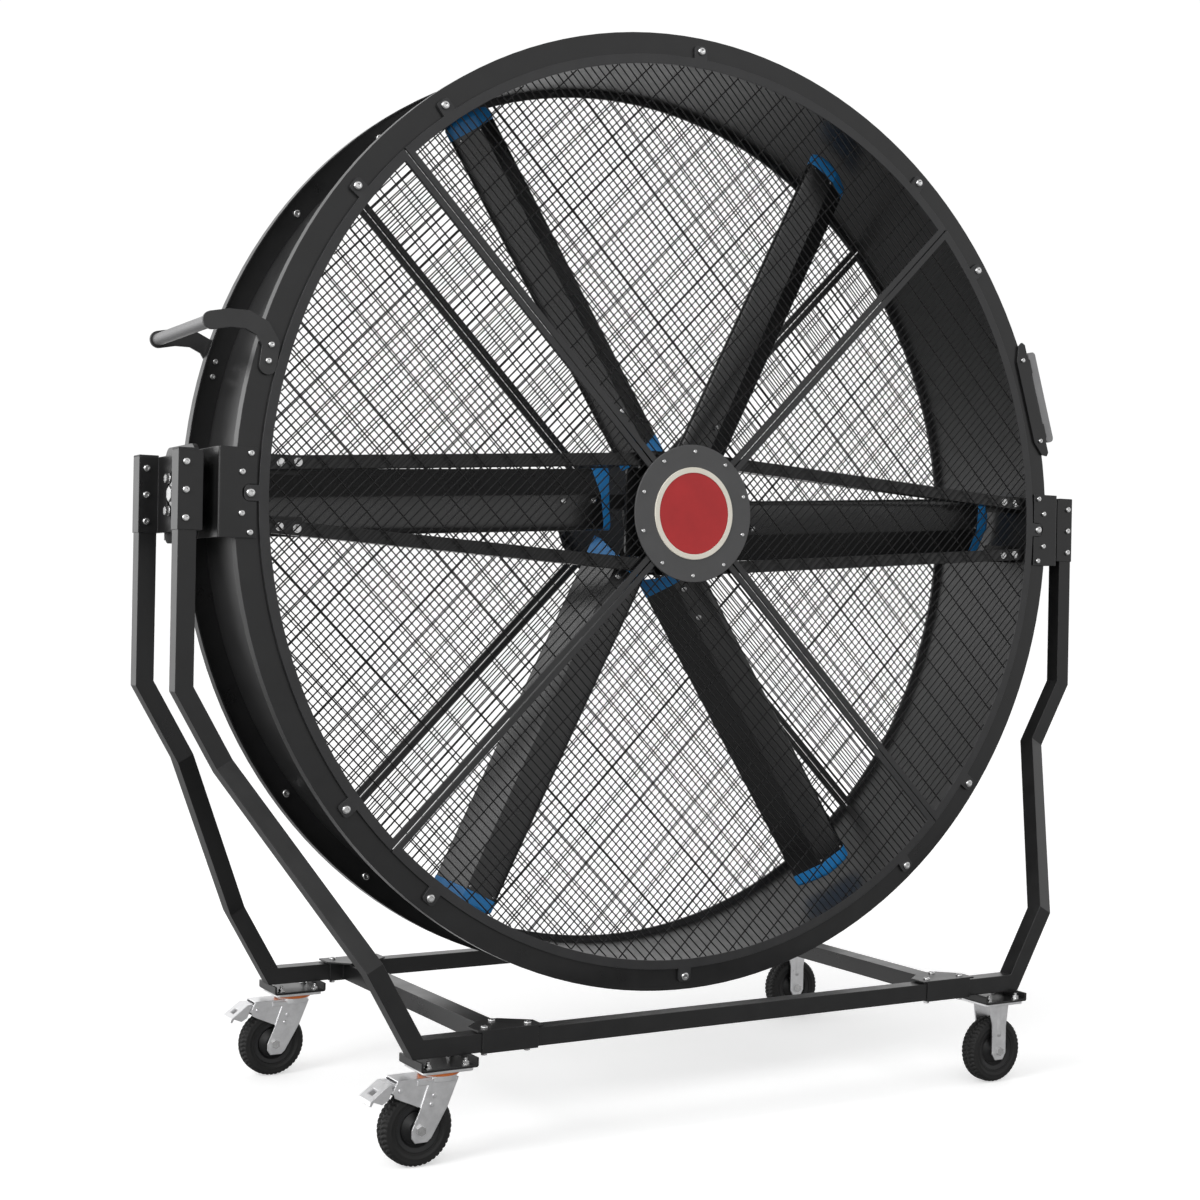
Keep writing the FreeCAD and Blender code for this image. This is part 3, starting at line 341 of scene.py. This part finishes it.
R_TIP, R_ROOT, PITCH, SKEW, Y_ROTOR, DOME = 1.057, 0.168, math.radians(14.0), math.radians(3.7), -0.025, 0.017
nose = curve_through([(0, 4), (2, 10), (9, 15), (30, 19.5), (58, 23), (84, 25)], 6)
tail = [(84 + 73 * k / 6, 25 - 23.8 * k / 6) for k in range(1, 7)]
under = curve_through([(157, 0.0), (112, 3.0), (70, 0.0), (34, -5.5), (10, -5.0), (1.5, -1), (0, 4)], 6)[:-1]
outline = [(70 + (c - 70) * 76 / 75, 7 + (h - 7) * 16 / 15) for c, h in nose + tail + under]


def tip_point(r, c, h, angle):
    cc = c - 44.3
    x, z = r, (-cc * math.cos(PITCH) - (h - 8) * math.sin(PITCH)) / 1000
    y = Y_ROTOR + ((cc - 18) * math.sin(PITCH) - (h - 8) * math.cos(PITCH)) / 1000
    dx = x - R_ROOT
    x, z = R_ROOT + dx * math.cos(SKEW) - z * math.sin(SKEW), dx * math.sin(SKEW) + z * math.cos(SKEW)
    return (x * math.cos(angle) - z * math.sin(angle), y, HC + x * math.sin(angle) + z * math.cos(angle))


for i in range(6):
    rings, faces = 10, []
    verts = [tip_point(R_TIP - 0.003, 74 + (c - 74) * 0.98, 9 + (h - 9) * 0.94, math.radians(60 * i - 0.7)) for c, h in outline]
    for k in range(rings - 1):
        phi = math.pi / 2 * k / (rings - 1)
        keep = math.cos(phi)
        verts += [tip_point(R_TIP + DOME * math.sin(phi), 74 + (c - 74) * keep, 9 + (h - 9) * (0.25 + 0.75 * keep), math.radians(60 * i - 0.7)) for c, h in outline]
    verts.append(tip_point(R_TIP + DOME, 74, 9, math.radians(60 * i - 0.7)))
    n = len(outline)
    faces.append(tuple(range(n)))
    for k in range(rings - 1):
        for j in range(n):
            l = (j + 1) % n
            faces.append((k * n + j, k * n + l, (k + 1) * n + l, (k + 1) * n + j))
    faces += [((rings - 1) * n + j, (rings - 1) * n + (j + 1) % n, rings * n) for j in range(n)]
    add_mesh("tip_round_%d" % (i + 1), verts, faces, "cap_blue", "rotor", smooth=True)


# ------------------------------------------------------------------ treaded tyres
def tyre(key):
    lo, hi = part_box("tyre_" + key)
    cx, cy, cz = ((lo[i] + hi[i]) / 2 for i in range(3))
    half = (hi[1] - lo[1]) / 2
    rad = (hi[2] - lo[2]) / 2
    w = half / 0.023
    right_side = [
        (0.0500, 0.0170), (0.0505, 0.0196), (0.0522, 0.0206), (0.0540, 0.0196), (0.0556, 0.0198), (0.0590, 0.0216),
        (0.0612, 0.0226), (0.0622, 0.0230), (0.0632, 0.0226), (0.0650, 0.0221), (0.0690, 0.0222), (0.0715, 0.0221),
        (0.0730, 0.0217), (0.0745, 0.0208), (0.0760, 0.0196), (0.0774, 0.0180), (0.0786, 0.0160), (0.0794, 0.0136),
        (0.0798, 0.0110), (0.0800, 0.0085), (0.0800, 0.0060), (0.0800, 0.0036), (0.0800, 0.0014),
    ]
    prof = [(r, y * w) for r, y in right_side] + [(r, -y * w) for r, y in reversed(right_side)]
    blocks, sub = 44, 8
    n = blocks * sub
    m = len(prof)
    verts, faces = [], []
    for i in range(n):
        a = 2 * math.pi * i / n
        for r, y in prof:
            depth = 0.0
            if r > 0.0725:
                s = abs(y) / w
                zig = abs(((s / 0.0085) % 2.0) - 1.0) * 0.55 + (0.5 if y < 0 else 0.0)
                u = (i / sub + zig) % 1.0
                wall = min(abs(u - 0.15), abs(u - 1.15))
                cut = max(0.0, min(1.0, (0.24 - wall) / 0.10))
                depth = 0.0030 * cut * min(1.0, (r - 0.0725) / 0.004)
                if s < 0.0020:
                    depth = max(depth, 0.0022)
            rr = (r - depth) * rad / 0.080
            verts.append((cx + rr * math.cos(a), cy + y, cz + rr * math.sin(a)))
    for i in range(n):
        j = (i + 1) % n
        for k in range(m):
            l = (k + 1) % m
            faces.append((i * m + k, i * m + l, j * m + l, j * m + k))
    o = add_mesh("tread_" + key, verts, faces, "tyre_rubber", "wheel_" + key, smooth=True)
    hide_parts("tyre_" + key)


for key in ("front_left", "rear_left", "front_right", "rear_right"):
    tyre(key)

# ------------------------------------------------------------------ stage: floor, light, camera
m, t, p = new_material("studio_floor")
tc = t.nodes.new("ShaderNodeTexCoord").outputs["Object"]
col = mix_colour(t, noise(t, tc, 3.0, 4.0), (0.80, 0.80, 0.80), (0.82, 0.82, 0.82))
link(t, col, p.inputs["Base Color"])
link(t, span(t, noise(t, tc, 12.0, 3.0), 0.3, 0.7, 0.75, 0.85), p.inputs["Roughness"])
p.inputs["Specular IOR Level"].default_value = 0.2
p.inputs["Emission Color"].default_value = (1.0, 1.0, 1.0, 1.0)
# the floor glows evenly bright far out and glows less within about 1.3 to 3.2 m of the centre: painted shade round the
# object
reach = t.nodes.new("ShaderNodeVectorMath")
reach.operation = "LENGTH"
link(t, tc, reach.inputs[0])
link(t, span(t, reach.outputs["Value"], 1.3, 3.2, 0.46, 0.54), p.inputs["Emission Strength"])
me = bpy.data.meshes.new("studio_floor")
me.from_pydata([(-150, -150, 0), (150, -150, 0), (150, 150, 0), (-150, 150, 0)], [], [(0, 1, 2, 3)])
floor = bpy.data.objects.new("studio_floor", me)
scene.collection.objects.link(floor)
me.materials.append(m)
# the floor is a bright paper sweep; it takes shadows but does not light the underside of the object
floor.visible_glossy = False
floor.visible_diffuse = False

world = bpy.data.worlds.new("studio")
scene.world = world
world.use_nodes = True
wt = world.node_tree
wt.nodes.clear()
wo = wt.nodes.new("ShaderNodeOutputWorld")
bg = wt.nodes.new("ShaderNodeBackground")
link(wt, bg.outputs[0], wo.inputs[0])
wtc = wt.nodes.new("ShaderNodeTexCoord").outputs["Generated"]


def along(direction):
    n = wt.nodes.new("ShaderNodeVectorMath")
    n.operation = "DOT_PRODUCT"
    link(wt, wtc, n.inputs[0])
    n.inputs[1].default_value = direction
    return n.outputs["Value"]


# a white cove behind and to the left, a darker room in front, dark below the horizon
cove = span(wt, along((-0.25, 0.968, 0.0)), -0.35, 0.55, 0.85, 1.10)
height = span(wt, along((0.0, 0.0, 1.0)), -0.30, 0.10, 0.27, 1.0)
backdrop = span(wt, along((math.sin(0.5285), math.cos(0.5285), 0.0)), 0.80, 0.90, 0.0, 1.03)
strip = span(wt, along((-0.94, -0.34, 0.0)), 0.90, 0.97, 0.0, 0.9)
flank = span(wt, along((-0.62, 0.785, 0.0)), 0.86, 0.97, 0.0, 0.9)
room = math_node(wt, "MULTIPLY", math_node(wt, "ADD", math_node(wt, "ADD", cove, flank), strip), height)
room = math_node(wt, "MULTIPLY", room, span(wt, along((0.0, 0.0, 1.0)), 0.42, 0.85, 1.0, 0.22))
softbox = span(wt, along((-0.416, -0.793, 0.446)), 0.94, 0.985, 0.0, 2.2)
room = math_node(wt, "ADD", room, softbox)
# seen directly, the studio wall is plain white all round
wall = wt.nodes.new("ShaderNodeMix")
wall.data_type = "FLOAT"
link(wt, wt.nodes.new("ShaderNodeLightPath").outputs["Is Camera Ray"], wall.inputs[0])
link(wt, math_node(wt, "MAXIMUM", room, backdrop), wall.inputs[2])
wall.inputs[3].default_value = 1.03
link(wt, wall.outputs[0], bg.inputs["Strength"])
bg.inputs["Color"].default_value = (1, 1, 1, 1)


def aim(o, target):
    d = Vector(target) - o.location
    o.rotation_mode = "QUATERNION"
    o.rotation_quaternion = d.to_track_quat("-Z", "Y")


def area(name, loc, target, sx, sy, power):
    l = bpy.data.lights.new(name, "AREA")
    l.shape = "RECTANGLE"
    l.size, l.size_y = sx, sy
    l.energy = power
    o = bpy.data.objects.new(name, l)
    scene.collection.objects.link(o)
    o.location = loc
    aim(o, target)
    return o


area("key_left", (-5.5, -1.5, 3.6), (0, 0, 1.0), 2.5, 3.0, 150)
area("top_soft", (-0.5, -1.5, 6.0), (0, 0, 0.5), 4.0, 4.0, 60).visible_glossy = False

cam_data = bpy.data.cameras.new("photo_camera")
cam = bpy.data.objects.new("photo_camera", cam_data)
scene.collection.objects.link(cam)
cam_data.lens = 56.53
cam_data.sensor_width = 36.0
cam_data.sensor_fit = "HORIZONTAL"
cam_data.clip_start, cam_data.clip_end = 0.1, 400.0
cam_data.dof.use_dof = False
yaw, pitch, roll = 0.5285, 0.0014, 0.0184
fwd = Vector((math.sin(yaw) * math.cos(pitch), math.cos(yaw) * math.cos(pitch), math.sin(pitch)))
right = Vector((math.cos(yaw), -math.sin(yaw), 0.0))
up = right.cross(fwd)
r2 = right * math.cos(roll) + up * math.sin(roll)
u2 = up * math.cos(roll) - right * math.sin(roll)
cam.matrix_world = Matrix(
    (
        (r2.x, u2.x, -fwd.x, -2.4858),
        (r2.y, u2.y, -fwd.y, -4.0074),
        (r2.z, u2.z, -fwd.z, 1.1809),
        (0, 0, 0, 1),
    )
)
scene.camera = cam
scene.view_settings.view_transform = "Standard"
scene.view_settings.look = "None"
scene.view_settings.exposure = 0.0
